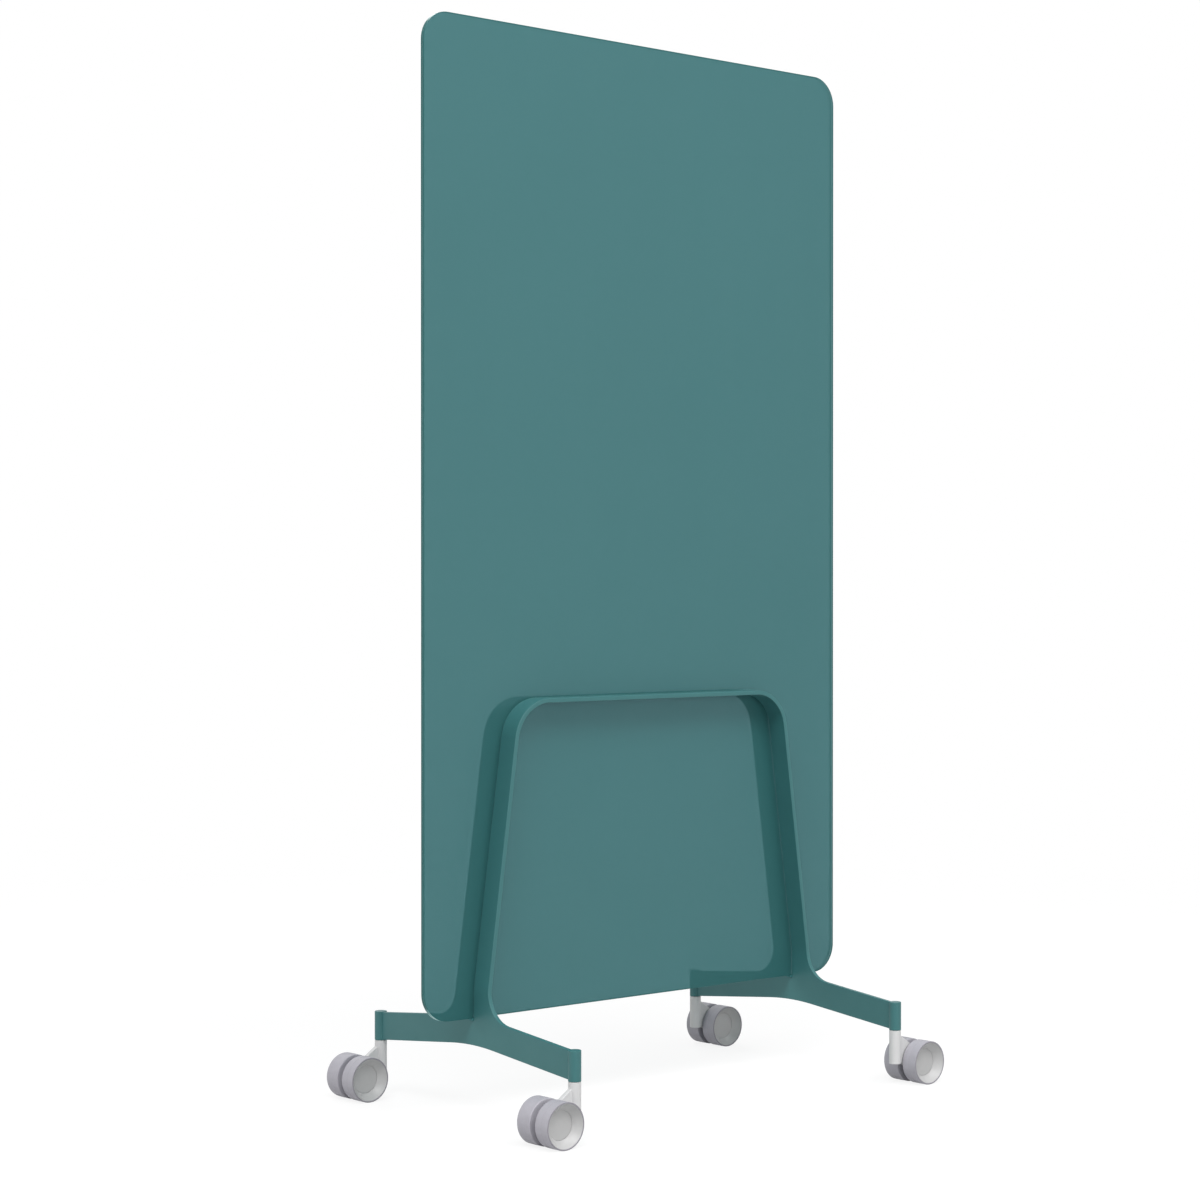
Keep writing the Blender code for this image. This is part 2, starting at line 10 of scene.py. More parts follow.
import bmesh
import bpy
from bpy.props import FloatProperty, FloatVectorProperty, PointerProperty
from mathutils import Matrix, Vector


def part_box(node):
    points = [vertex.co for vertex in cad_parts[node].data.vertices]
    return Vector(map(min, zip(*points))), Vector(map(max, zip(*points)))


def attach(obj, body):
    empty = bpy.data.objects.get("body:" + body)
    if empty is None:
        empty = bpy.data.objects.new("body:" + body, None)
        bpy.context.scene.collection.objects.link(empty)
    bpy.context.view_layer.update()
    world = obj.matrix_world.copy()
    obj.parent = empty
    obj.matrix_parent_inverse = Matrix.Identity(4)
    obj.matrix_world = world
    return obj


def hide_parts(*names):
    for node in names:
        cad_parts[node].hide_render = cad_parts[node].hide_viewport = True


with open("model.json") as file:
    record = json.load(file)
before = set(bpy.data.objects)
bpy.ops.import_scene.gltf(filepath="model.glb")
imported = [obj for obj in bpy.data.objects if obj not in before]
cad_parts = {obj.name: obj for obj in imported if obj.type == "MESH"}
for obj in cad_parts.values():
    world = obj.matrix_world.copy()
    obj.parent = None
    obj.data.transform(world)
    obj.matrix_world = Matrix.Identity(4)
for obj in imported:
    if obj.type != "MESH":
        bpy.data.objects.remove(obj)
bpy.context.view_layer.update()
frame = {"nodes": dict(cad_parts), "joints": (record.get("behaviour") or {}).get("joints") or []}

bl_info = {
    "name": "Mobile Glass Whiteboard",
    "version": (1, 0, 0),
    "blender": (4, 5, 0),
    "location": "3D View > Sidebar > Glass Board",
    "description": "Builds the finished pieces of a mobile glass whiteboard round its frame",
    "category": "Add Mesh",
}

# Places taken from the frame
PANE_LOW, PANE_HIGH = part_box("front_glass_pane")
REAR_PANE_LOW, REAR_PANE_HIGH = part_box("rear_glass_pane")
FILM_LOW, FILM_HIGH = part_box("colour_interlayer")
HOOP_LOW, HOOP_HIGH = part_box("rear_hoop")
STRIP_LOW, STRIP_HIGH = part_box("rear_bonding_strip")
SOCKET_LOW, SOCKET_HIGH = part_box("rear_right_socket")
YOKE_LOW, YOKE_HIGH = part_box("rear_right_yoke")
TYRE_LOW, TYRE_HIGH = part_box("rear_right_outer_tyre")
CORE_LOW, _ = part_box("rear_right_outer_wheel_core")
JOINTS = {joint["name"]: joint["pos_m"] for joint in frame["joints"]}
FOOT_X, FOOT_REACH, AXLE_HEIGHT = JOINTS["rear_right_swivel"]
TRAIL = JOINTS["rear_right_outer_spin"][0] - FOOT_X
WHEEL_RADIUS = AXLE_HEIGHT
WHEEL_INNER = TYRE_LOW.y - FOOT_REACH
WHEEL_OUTER = TYRE_HIGH.y - FOOT_REACH
BOSS_FACE = CORE_LOW.y - FOOT_REACH
SOCKET_RADIUS = SOCKET_HIGH.y - FOOT_REACH
POST_RADIUS = FOOT_X - YOKE_LOW.x

# Rings, arcs and rounded edges are drawn with these counts
RING_FACETS = 96
TUBE_FACETS = 64
CORNER_STEPS = 24
FILLET_STEPS = 16
ARCH_STEPS = 12
BEND_STEPS = 8
ROUND_STEPS = 3
SMOOTH_ANGLE = radians(32)

# Vertices closer than this lie in one place
SAME_PLACE = 1e-6
# A face of a pane is its front or its back where its normal is this close to square on
SQUARE_ON = 0.99
# Width of the faint clouds in the glass
GLASS_CLOUD = 0.350
# Rings in a metre that a wave texture of scale 1 draws
WAVE_RINGS = 3.2
# Share of the floor's radius at which it has faded out
FADE_END = 0.9
# Each lamp's width, height and place
LAMPS = {
    "key": (4.4, 3.0, (-4.0, -3.15, 6.7)),
    "top": (4.0, 2.6, (0.4, -4.05, 5.95)),
    "front": (3.6, 1.6, (-0.6, -6.0, 1.7)),
    "side": (3.0, 2.0, (-7.0, 2.0, 2.0)),
    "back": (3.0, 2.0, (1.5, 4.2, 4.8)),
}


def linear(code):
    """Turns an sRGB hex value into linear red, green and blue."""
    values = [int(code[place:place + 2], 16) / 255 for place in (1, 3, 5)]
    return [value / 12.92 if value <= 0.04045 else ((value + 0.055) / 1.055) ** 2.4 for value in values]


def length(name, description, default):
    """A length that a user can change."""
    return FloatProperty(name=name, description=description, default=default, min=0,
                         unit="LENGTH", precision=4)


def turn(name, description, default):
    """An angle that a user can change."""
    return FloatProperty(name=name, description=description, default=default, subtype="ANGLE")


def colour(name, description, code):
    """A colour that a user can change."""
    return FloatVectorProperty(name=name, description=description, default=linear(code),
                               min=0, max=1, subtype="COLOR")


def amount(name, description, default, most=1.0):
    """A plain factor that a user can change."""
    return FloatProperty(name=name, description=description, default=default, min=0, max=most,
                         subtype="FACTOR")


def power(name, description, default):
    """The power of a lamp that a user can change."""
    return FloatProperty(name=name, description=description, default=default, min=0, unit="POWER")


class GlassSettings(bpy.types.PropertyGroup):
    """Laminated glass board."""

    corner_radius: length("Corner radius", "Radius of the board's four corners", 0.052)
    arris: length("Arris", "Width of the ground arris along each edge", 0.0006)
    film_inset: length("Film inset", "How far the film stays inside the edge of the glass", 0.0008)
    film_clear: colour("Film tint", "Colour of what shows through one face of the film", "#F4FAFB")
    face_colour: colour("Face", "Colour that an etched face sends back", "#356F70")
    face_clear: colour("Face tint", "Colour of what shows through an etched face", "#DFF5FA")
    face_cover: amount("Face cover", "Share of an etched face that hides what is behind it", 0.70)
    pane_clear: colour("Pane tint", "Colour of what shows through one face of a pane", "#FCFEFE")
    edge_colour: colour("Edge", "Colour of the polished edge", "#286767")
    # Edge glow is a painted highlight, laid on the lower rounded corners of the glass edge
    edge_painted_highlight: colour("Edge glow", "Colour low on the corners, where light leaves the sheet", "#A8DADA")


class FrameSettings(bpy.types.PropertyGroup):
    """Hoops, foot plates and sockets."""

    bar: length("Bar thickness", "Thickness of the flat bar and the foot plates", 0.008)
    round_edge: length("Rounded edge", "Radius of the bar's rounded edges", 0.0010)
    hoop_radius: length("Hoop corner", "Radius of a hoop's upper corners, to the middle of the bar", 0.074)
    lean: turn("Lean", "How far the legs of a hoop lean towards each other", radians(8))
    foot_depth: length("Foot depth", "Depth of a foot plate's arm", 0.0495)
    slope: turn("Foot slope", "Slope of a foot plate's arms", radians(6))
    arch_radius: length("Arch", "Radius under the middle of a foot plate", 0.560)
    fillet_radius: length("Fillet", "Radius between an arm and its upstand", 0.055)
    bend_rise: length("Bend rise", "Height of the bend above the top of the foot", 0.0325)
    bend_radius: length("Bend radius", "Radius of the bend in an upstand", 0.150)
    tail: length("Tail", "Straight end of an upstand, up to the weld", 0.006)
    slot_depth: length("Slot depth", "Depth of the slot that takes the glass", 0.0102)
    slot_half: length("Slot half-width", "Half of the width of the slot", 0.0054)
    weld_reach: length("Weld reach", "How far an arm runs into the wall of its socket", 0.00095)
    socket_wall: length("Socket wall", "Thickness of a socket's wall", 0.0020)
    socket_roof: length("Socket roof", "Thickness of a socket's closed top", 0.0030)
    rim_edge: length("Socket rim", "Radius of a socket's lower rim", 0.0005)
    bore_edge: length("Socket bore", "Radius of the edge of a socket's bore", 0.000333)
    close_edge: length("Edge beside the glass", "Radius of the bar's edges beside the glass", 0.0004)
    strip_inset: length("Strip inset", "How far a bonding strip stays inside the bar", 0.0001)
    paint: colour("Paint", "Colour of the powder coat", "#3A7273")
    paint_shade: colour("Paint shade", "Colour in the hollows of the powder coat", "#376C6E")
    strip_colour: colour("Bonding strip", "Colour of the bonding strips", "#306A6B")
    peel: length("Orange peel", "Width of one swell in the powder coat", 0.0022)


class CastorSettings(bpy.types.PropertyGroup):
    """Yokes of the castors."""

    post_foot: length("Post foot", "Height of the foot of the post", 0.0398)
    post_edge: length("Post edge", "Radius of the post's rounded edges", 0.0010)
    web_thickness: length("Web thickness", "Thickness of the web between the wheels", 0.0092)
    web_drop: length("Web drop", "How far the web starts below the top of the post", 0.0110)
    web_round: length("Web edge", "Radius of the web's rounded edges", 0.0012)
    hub_radius: length("Hub", "Radius of the round end of the web", 0.0195)
    nylon: colour("Nylon", "Colour of the moulded nylon", "#D6D6D6")
    nylon_shade: colour("Nylon shade", "Second colour of the moulded nylon", "#D1D1D1")
    grain: length("Mould grain", "Width of one pit of the mould's eroded grain", 0.0006)
    steel: colour("Steel", "Colour of the turned steel", "#C4C6C8")
    bush: colour("Bush", "Colour of the natural nylon bushes", "#D2D0C6")
    pad: colour("Pad", "Colour of the rubber pads under the glass", "#377375")


class WheelSettings(bpy.types.PropertyGroup):
    """Wheels of the castors."""

    tyre_depth: length("Tyre depth", "Thickness of the tyre", 0.0033)
    tyre_lip: length("Tyre lip", "Width of the tyre's lip round the dish", 0.0027)
    tyre_shoulder: length("Tyre shoulder", "Radius of the tyre's inner shoulder", 0.0018)
    flange_edge: length("Flange edge", "Radius of the inner edge of the tyre's flange", 0.00045)
    lip_round: length("Lip round", "Radius between the tread and the lip", 0.0009)
    lip_edge: length("Lip edge", "Radius of the lip's inner edge", 0.0003)
    lip_depth: length("Lip depth", "Depth of the tyre's lip", 0.0040)
    parting: length("Parting line", "Height of the moulding line round the tread", 0.00012)
    dish_depth: length("Dish depth", "Depth of the dish in the wheel's outer side", 0.0144)
    disc_radius: length("Disc radius", "Radius of the disc at the bottom of the dish", 0.0254)
    disc_thickness: length("Disc thickness", "Thickness of the disc", 0.0018)
    disc_crown: length("Disc crown", "Rise of the disc's middle", 0.0005)
    dish_bow: turn("Dish bow", "How far the dish's wall turns between the disc and the mouth", radians(18))
    disc_edge: length("Disc edge", "Radius of the disc's rounded edge", 0.0005)
    core_edge: length("Core edge", "Radius of the boss's edges, and the core's step below the lip", 0.0006)
    boss_radius: length("Boss radius", "Radius of the boss beside the web", 0.0120)
    flange_radius: length("Tyre flange", "Inner radius of the tyre's flange beside the web", 0.0150)
    recess: length("Recess", "Depth behind the tyre's flange at which the core's drum starts", 0.0020)
    bore: length("Bore", "Radius of the bore for the axle", 0.0043)
    tyre: colour("Tyre", "Colour of the tyre", "#B3B1B9")
    # The lip colour is painted shade: a darker tyre grey on the faces that turn out of the dish
    lip_painted_shade: colour("Lip colour", "Colour of the tyre's lip round the dish", "#8F8D94")
    tyre_scuffed: colour("Scuffed tyre", "Colour of the tyre where floors have rubbed it", "#AAA8B0")
    disc: colour("Disc", "Colour of the disc", "#BBBBBB")
    disc_shade: colour("Disc shade", "Second colour of the disc", "#B6B6B6")
    # The core colour is painted shade: a darker copy of the fork's white nylon, for the shade inside the
    # dish
    core: colour("Core", "Colour of the wheel core", "#C1C1C1")
    core_shade: colour("Core shade", "Second colour of the wheel core", "#BCBCBC")


class StageSettings(bpy.types.PropertyGroup):
    """Floor, light and camera."""

    floor_radius: length("Floor radius", "Radius of the floor", 4.5)
    floor_clear: length("Fade start", "Distance at which the floor starts to fade out", 1.6)
    floor_colour: colour("Floor", "Colour of the floor", "#C4C4C4")
    shadow: amount("Shadow", "Share of the floor's shading that shows", 0.30)
    lift: amount("Lift", "White that is added to the floor where it is seen", 0.86)
    sky: amount("Sky", "Strength of the light from all round", 0.34, 4.0)
    key: power("Key lamp", "Power of the lamp at the upper left", 330)
    top: power("Top lamp", "Power of the lamp above the front", 172)
    front: power("Front lamp", "Power of the low lamp in front", 65)
    side: power("Side lamp", "Power of the lamp at the left", 78)
    back: power("Back lamp", "Power of the lamp behind", 80)
    lens: FloatProperty(name="Lens", description="Focal length on a 36 mm sensor", default=80.0955, min=1)
    camera_place: FloatVectorProperty(name="Camera", description="Place of the camera", unit="LENGTH",
                                      default=(-3.2599, -3.6307, 0.9267), subtype="TRANSLATION")
    pitch: turn("Pitch", "Turn of the camera up from straight down", radians(89.653))
    heading: turn("Heading", "Turn of the camera from +Y", radians(-41.045))


class BoardSettings(bpy.types.PropertyGroup):
    """All the sizes and colours of the board."""

    glass: PointerProperty(type=GlassSettings)
    frame: PointerProperty(type=FrameSettings)
    castor: PointerProperty(type=CastorSettings)
    wheel: PointerProperty(type=WheelSettings)
    stage: PointerProperty(type=StageSettings)


def add_node(tree, kind, inputs=None, **settings):
    """Adds a node with its settings. Each input is a value, or a socket to link from."""
    made = tree.nodes.new(kind)
    for name, value in settings.items():
        setattr(made, name, value)
    for key, value in (inputs or {}).items():
        if isinstance(value, bpy.types.NodeSocket):
            tree.links.new(value, made.inputs[key])
        else:
            made.inputs[key].default_value = value
    return made


def new_material(name):
    """An empty node material with its output, or the one of that name with its nodes cleared."""
    made = bpy.data.materials.get(name) or bpy.data.materials.new(name)
    made.use_nodes = True
    made.node_tree.nodes.clear()
    output = add_node(made.node_tree, "ShaderNodeOutputMaterial")
    return made, made.node_tree, output


def toned(tint, share):
    """A colour at a share of its brightness."""
    return [value * share for value in tint]


def two_tones(tree, place, width, detail, main, second):
    """Two colours in soft patches of a width in metres. Gives the patches and the mixed colour."""
    patches = add_node(tree, "ShaderNodeTexNoise", {"Vector": place, "Scale": 1 / width, "Detail": detail})
    tone = add_node(tree, "ShaderNodeMix", {"Factor": patches.outputs["Fac"]}, data_type="RGBA")
    tone.inputs["A"].default_value = (*main, 1)
    tone.inputs["B"].default_value = (*second, 1)
    return patches.outputs["Fac"], tone.outputs["Result"]


def mottled(name, main, second, patch, grain, height, rough, stretch=(1, 1, 1), **sockets):
    """A Principled material with two close colours in patches, uneven gloss and a fine grain.

    Patch and grain are widths in metres, height is how deep the grain is, and rough holds the
    least and the most roughness. A moulded or cast grain is about 0.1 mm wide. It is drawn four
    to seven times as wide, so that it shows.
    """
    made, tree, output = new_material(name)
    place = add_node(tree, "ShaderNodeTexCoord").outputs["Object"]
    drawn = add_node(tree, "ShaderNodeMapping", {"Vector": place, "Scale": stretch}).outputs["Vector"]
    patches, tone = two_tones(tree, drawn, patch, 4.0, main, second)
    grains = add_node(tree, "ShaderNodeTexNoise", {"Vector": drawn, "Scale": 1 / grain, "Detail": 2.0})
    gloss = add_node(tree, "ShaderNodeMapRange", {
        "Value": patches, "From Min": 0.3, "From Max": 0.7, "To Min": rough[0], "To Max": rough[1]})
    relief = add_node(tree, "ShaderNodeBump", {
        "Height": grains.outputs["Fac"], "Strength": 0.35, "Distance": height})
    shader = add_node(tree, "ShaderNodeBsdfPrincipled", {
        "Base Color": tone, "Roughness": gloss.outputs["Result"],
        "Normal": relief.outputs["Normal"], **sockets})
    tree.links.new(shader.outputs["BSDF"], output.inputs["Surface"])
    return made


def recolour(made, share, colour):
    """Lays a colour over a material's own, as far as a share between 0 and 1 says."""
    tree = made.node_tree
    base = next(item for item in tree.nodes if item.type == "BSDF_PRINCIPLED").inputs["Base Color"]
    mixed = add_node(tree, "ShaderNodeMix", {"Factor": share}, data_type="RGBA")
    tree.links.new(base.links[0].from_socket, mixed.inputs["A"])
    mixed.inputs["B"].default_value = (*colour, 1)
    tree.links.new(mixed.outputs["Result"], base)


def powder_coat():
    """Powder-coated steel, sprayed and baked: an even satin teal with a shallow orange peel."""
    chosen = bpy.context.scene.board.frame
    return mottled("powder_coated_steel", chosen.paint, chosen.paint_shade, patch=0.060, grain=chosen.peel,
                   height=0.00006, rough=(0.40, 0.48), **{"Specular IOR Level": 0.42})


def moulded_nylon():
    """Glass-filled nylon from an eroded mould: a satin white with a very fine grain."""
    chosen = bpy.context.scene.board.castor
    return mottled("moulded_white_nylon", chosen.nylon, chosen.nylon_shade, patch=0.015, grain=chosen.grain,
                   height=0.00004, rough=(0.38, 0.48))


def core_nylon_painted_shade():
    """The wheel core's nylon: the same eroded grain, in a darker copy of the fork's white nylon that paints
    the shade inside the dish.
    """
    chosen = bpy.context.scene.board.wheel
    return mottled("moulded_core_nylon", chosen.core, chosen.core_shade, patch=0.012, grain=0.0006,
                   height=0.00003, rough=(0.36, 0.46))


def tyre_rubber():
    """Soft thermoplastic rubber: a matt violet grey, with painted shade on the lip round the dish."""
    chosen = bpy.context.scene.board.wheel
    made = mottled("moulded_soft_rubber", chosen.tyre, chosen.tyre_scuffed, patch=0.010, grain=0.0007,
                   height=0.00008, rough=(0.52, 0.66), stretch=(1, 0.35, 1))
    tree = made.node_tree
    # A wheel's own +Y points out of its dish, so the lip is what faces that way; faces that turn that way
    # get the painted shade
    facing = add_node(tree, "ShaderNodeTexCoord").outputs["Normal"]
    outward = add_node(tree, "ShaderNodeSeparateXYZ", {"Vector": facing}).outputs["Y"]
    share = add_node(tree, "ShaderNodeMapRange", {"Value": outward, "From Min": 0.35, "From Max": 0.60})
    recolour(made, share.outputs["Result"], chosen.lip_painted_shade)
    return made


def etched_glass():
    """Satin-etched float glass: the etched face scatters the film's teal and has only a soft gloss."""
    chosen = bpy.context.scene.board.glass
    made, tree, output = new_material("satin_etched_glass")
    place = add_node(tree, "ShaderNodeTexCoord").outputs["Object"]
    # A wiping cloth leaves strokes about 120 mm wide and four times as tall
    wiped = add_node(tree, "ShaderNodeMapping", {"Vector": place, "Scale": (1, 1, 0.25)}).outputs["Vector"]
    strokes = add_node(tree, "ShaderNodeTexNoise", {"Vector": wiped, "Scale": 1 / 0.120, "Detail": 5.0})
    gloss = add_node(tree, "ShaderNodeMapRange", {
        "Value": strokes.outputs["Fac"], "From Min": 0.35, "From Max": 0.65, "To Min": 0.50, "To Max": 0.58})
    tone = two_tones(tree, place, GLASS_CLOUD, 3.0, chosen.face_colour, toned(chosen.face_colour, 0.97))[1]
    shader = add_node(tree, "ShaderNodeBsdfPrincipled", {
        "Base Color": tone, "Roughness": gloss.outputs["Result"], "Specular IOR Level": 0.30})
    clear = add_node(tree, "ShaderNodeBsdfTransparent", {"Color": (*chosen.face_clear, 1)})
    mixed = add_node(tree, "ShaderNodeMixShader", {
        0: chosen.face_cover, 1: clear.outputs["BSDF"], 2: shader.outputs["BSDF"]})
    tree.links.new(mixed.outputs["Shader"], output.inputs["Surface"])
    return made


def clear_layer(name, tint):
    """A face inside the laminate, bonded to its neighbour: it tints light and has no gloss of its own."""
    made, tree, output = new_material(name)
    place = add_node(tree, "ShaderNodeTexCoord").outputs["Object"]
    tone = two_tones(tree, place, GLASS_CLOUD, 3.0, tint, toned(tint, 0.98))[1]
    clear = add_node(tree, "ShaderNodeBsdfTransparent", {"Color": tone})
    tree.links.new(clear.outputs["BSDF"], output.inputs["Surface"])
    return made


def glass_edge():
    """Polished edge of tinted glass: a deep, glossy teal.

    Its lower rounded corners get a painted highlight: a bright colour laid on the faces that turn down and
    to one side, standing in for light that leaves the sheet there.
    """
    chosen = bpy.context.scene.board.glass
    made = mottled("polished_glass_edge", chosen.edge_colour, toned(chosen.edge_colour, 0.9), patch=0.040,
                   grain=0.0012, height=0.00002, rough=(0.16, 0.24), **{"Specular IOR Level": 0.16})
    tree = made.node_tree
    # Painted highlight: a corner faces down and to one side and gets the bright colour. The straight lower
    # edge faces only down, and stays dark
    facing = add_node(tree, "ShaderNodeNewGeometry").outputs["Normal"]
    parts = add_node(tree, "ShaderNodeSeparateXYZ", {"Vector": facing}).outputs
    below = add_node(tree, "ShaderNodeMapRange", {"Value": parts["Z"], "From Min": -0.45, "From Max": -0.75})
    sideways = add_node(tree, "ShaderNodeMath", {0: parts["X"]}, operation="ABSOLUTE").outputs["Value"]
    corner = add_node(tree, "ShaderNodeMapRange", {"Value": sideways, "From Min": 0.10, "From Max": 0.35})
    share = add_node(tree, "ShaderNodeMath", {0: below.outputs["Result"], 1: corner.outputs["Result"]},
                     operation="MULTIPLY").outputs["Value"]
    recolour(made, share, chosen.edge_painted_highlight)
    return made


def bonding_strip():
    """Acrylic bonding tape: matt, slightly open-celled, and teal like the paint beside it."""
    chosen = bpy.context.scene.board.frame
    return mottled("acrylic_bonding_tape", chosen.strip_colour, toned(chosen.strip_colour, 0.8), patch=0.004,
                   grain=0.0005, height=0.00005, rough=(0.75, 0.90))


def turned_steel():
    """Turned steel: bright, with fine rings from the tool."""
    chosen = bpy.context.scene.board.castor
    return mottled("turned_steel", chosen.steel, toned(chosen.steel, 0.85), patch=0.008, grain=0.0004,
                   height=0.00002, rough=(0.22, 0.34), stretch=(0.1, 0.1, 1), Metallic=1.0)


def natural_nylon():
    """Natural nylon: a cloudy off-white with a greasy satin."""
    chosen = bpy.context.scene.board.castor
    return mottled("natural_nylon", chosen.bush, toned(chosen.bush, 0.93), patch=0.006, grain=0.0005,
                   height=0.00003, rough=(0.40, 0.52))


def pad_rubber():
    """Moulded rubber pad: matt, and teal like the paint beside it."""
    chosen = bpy.context.scene.board.castor
    return mottled("moulded_rubber_pad", chosen.pad, toned(chosen.pad, 1.3), patch=0.005, grain=0.0006,
                   height=0.00006, rough=(0.75, 0.88))


def disc_plastic():
    """Injection-moulded grey plastic, faced in a lathe-cut mould that left faint rings."""
    chosen = bpy.context.scene.board.wheel
    made = mottled("moulded_grey_disc", chosen.disc, chosen.disc_shade, patch=0.009, grain=0.0006,
                   height=0.00003, rough=(0.42, 0.52))
    tree = made.node_tree
    relief = next(item for item in tree.nodes if item.type == "BUMP")
    place = next(item for item in tree.nodes if item.type == "TEX_COORD").outputs["Object"]
    # Tool rings are about 0.3 mm apart and are drawn 1.2 mm apart, so that they show
    ring_gap = 0.0012
    rings = add_node(tree, "ShaderNodeTexWave", {"Vector": place, "Scale": 1 / ring_gap / WAVE_RINGS},
                     wave_type="RINGS", rings_direction="Y")
    cut = add_node(tree, "ShaderNodeBump", {
        "Height": rings.outputs["Fac"], "Strength": 0.2, "Distance": 0.00003})
    tree.links.new(cut.outputs["Normal"], relief.inputs["Normal"])
    return made


def arc(centre_u, centre_v, radius, start, end, steps):
    """Points on an arc, both ends included."""
    spread = [start + (end - start) * step / steps for step in range(steps + 1)]
    return [(centre_u + radius * cos(angle), centre_v + radius * sin(angle)) for angle in spread]


def rounded(corners):
    """Rounds the corners of a closed outline. Each corner is (u, v, radius)."""
    points = []
    for index, (u, v, radius) in enumerate(corners):
        before = corners[index - 1]
        after = corners[(index + 1) % len(corners)]
        if radius == 0:
            points.append((u, v))
            continue
        back = (before[0] - u, before[1] - v)
        ahead = (after[0] - u, after[1] - v)
        back_length = hypot(*back)
        ahead_length = hypot(*ahead)
        back = (back[0] / back_length, back[1] / back_length)
        ahead = (ahead[0] / ahead_length, ahead[1] / ahead_length)
        opening = acos(max(-1, min(1, back[0] * ahead[0] + back[1] * ahead[1])))
        run = radius / tan(opening / 2)
        middle = (back[0] + ahead[0], back[1] + ahead[1])
        middle_length = hypot(*middle)
        reach = radius / sin(opening / 2)
        centre = (u + middle[0] / middle_length * reach, v + middle[1] / middle_length * reach)
        first = atan2(v + back[1] * run - centre[1], u + back[0] * run - centre[0])
        last = atan2(v + ahead[1] * run - centre[1], u + ahead[0] * run - centre[0])
        sweep = (last - first + pi) % (2 * pi) - pi
        points += arc(centre[0], centre[1], radius, first, first + sweep, ROUND_STEPS)
    return points


def turned(profile, facets, axis="Z"):
    """Turns a closed profile of (radius, height) round an axis. Points at radius 0 meet in one."""
    bm = bmesh.new()
    rings = []
    for radius, height in profile:
        if radius == 0:
            rings.append([bm.verts.new((0, 0, height))] * facets)
            continue
        angles = [2 * pi * index / facets for index in range(facets)]
        rings.append([bm.verts.new((radius * cos(angle), radius * sin(angle), height)) for angle in angles])
    for lower, upper in zip(rings, rings[1:] + rings[:1]):
        for index in range(facets):
            after = (index + 1) % facets
            corners = list(dict.fromkeys((lower[index], lower[after], upper[after], upper[index])))
            if len(corners) > 2:
                bm.faces.new(corners)
    if axis == "Y":
        bmesh.ops.rotate(bm, verts=bm.verts, cent=(0, 0, 0), matrix=Matrix.Rotation(-pi / 2, 3, "X"))
    return bm


def extruded(outline, near, far):
    """Extrudes an outline of (x, z) points along Y."""
    bm = bmesh.new()
    face = bm.faces.new([bm.verts.new((x, near, z)) for x, z in outline])
    moved = bmesh.ops.extrude_face_region(bm, geom=[face])["geom"]
    verts = [item for item in moved if isinstance(item, bmesh.types.BMVert)]
    bmesh.ops.translate(bm, verts=verts, vec=(0, far - near, 0))
    return bm


def round_rims(bm, radius, left_out=None):
    """Rounds the edges between an extrusion's two flat sides and its rim, apart from any left out."""
    chosen = []
    for edge in bm.edges:
        sides = [face for face in edge.link_faces if len(face.verts) > 4]
        if len(sides) == 1 and not (left_out and left_out(edge)):
            chosen.append(edge)
    bmesh.ops.bevel(bm, geom=chosen, offset=radius, segments=ROUND_STEPS, profile=0.5, affect="EDGES",
                    clamp_overlap=False)


def finished(name, bm, *materials):
    """Turns a bmesh into a mesh with outward faces, smooth rounds and sharp edges."""
    bmesh.ops.recalc_face_normals(bm, faces=bm.faces[:])
    mesh = bpy.data.meshes.new(name)
    bm.to_mesh(mesh)
    bm.free()
    for material in materials:
        mesh.materials.append(material)
    mesh.shade_smooth()
    mesh.set_sharp_from_angle(angle=SMOOTH_ANGLE)
    return mesh


def add_piece(name, mesh, body, nodes, place=None):
    """Adds a piece in its place, on its body, instead of its nodes."""
    piece = bpy.data.objects.new(name, mesh)
    bpy.context.scene.collection.objects.link(piece)
    flat = piece.modifiers.new("flat_faces_stay_flat", "WEIGHTED_NORMAL")
    flat.keep_sharp = True
    if place is not None:
        piece.matrix_world = place
    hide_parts(*nodes)
    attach(piece, body)
    return piece


def repaint(node, material):
    """Gives a kept node a better material."""
    for place in frame["nodes"][node].material_slots:
        place.material = material


def corners():
    """Each corner's name, side of the board and place across it."""
    for end, depth in (("front", -1), ("rear", 1)):
        for hand, side in (("left", -1), ("right", 1)):
            yield end + "_" + hand, side, depth


def castor_place(side, depth):
    """Where a castor stands, with its own +X along the trail."""
    heading = Matrix.Rotation(0 if side > 0 else pi, 4, "Z")
    return Matrix.Translation((side * FOOT_X, depth * FOOT_REACH, 0)) @ heading


def board_outline(low, high, radius):
    """Rounded rectangle between two corners."""
    points = arc(high.x - radius, high.z - radius, radius, 0, pi / 2, CORNER_STEPS)
    points += arc(low.x + radius, high.z - radius, radius, pi / 2, pi, CORNER_STEPS)
    points += arc(low.x + radius, low.z + radius, radius, pi, 3 * pi / 2, CORNER_STEPS)
    points += arc(high.x - radius, low.z + radius, radius, 3 * pi / 2, 2 * pi, CORNER_STEPS)
    return points


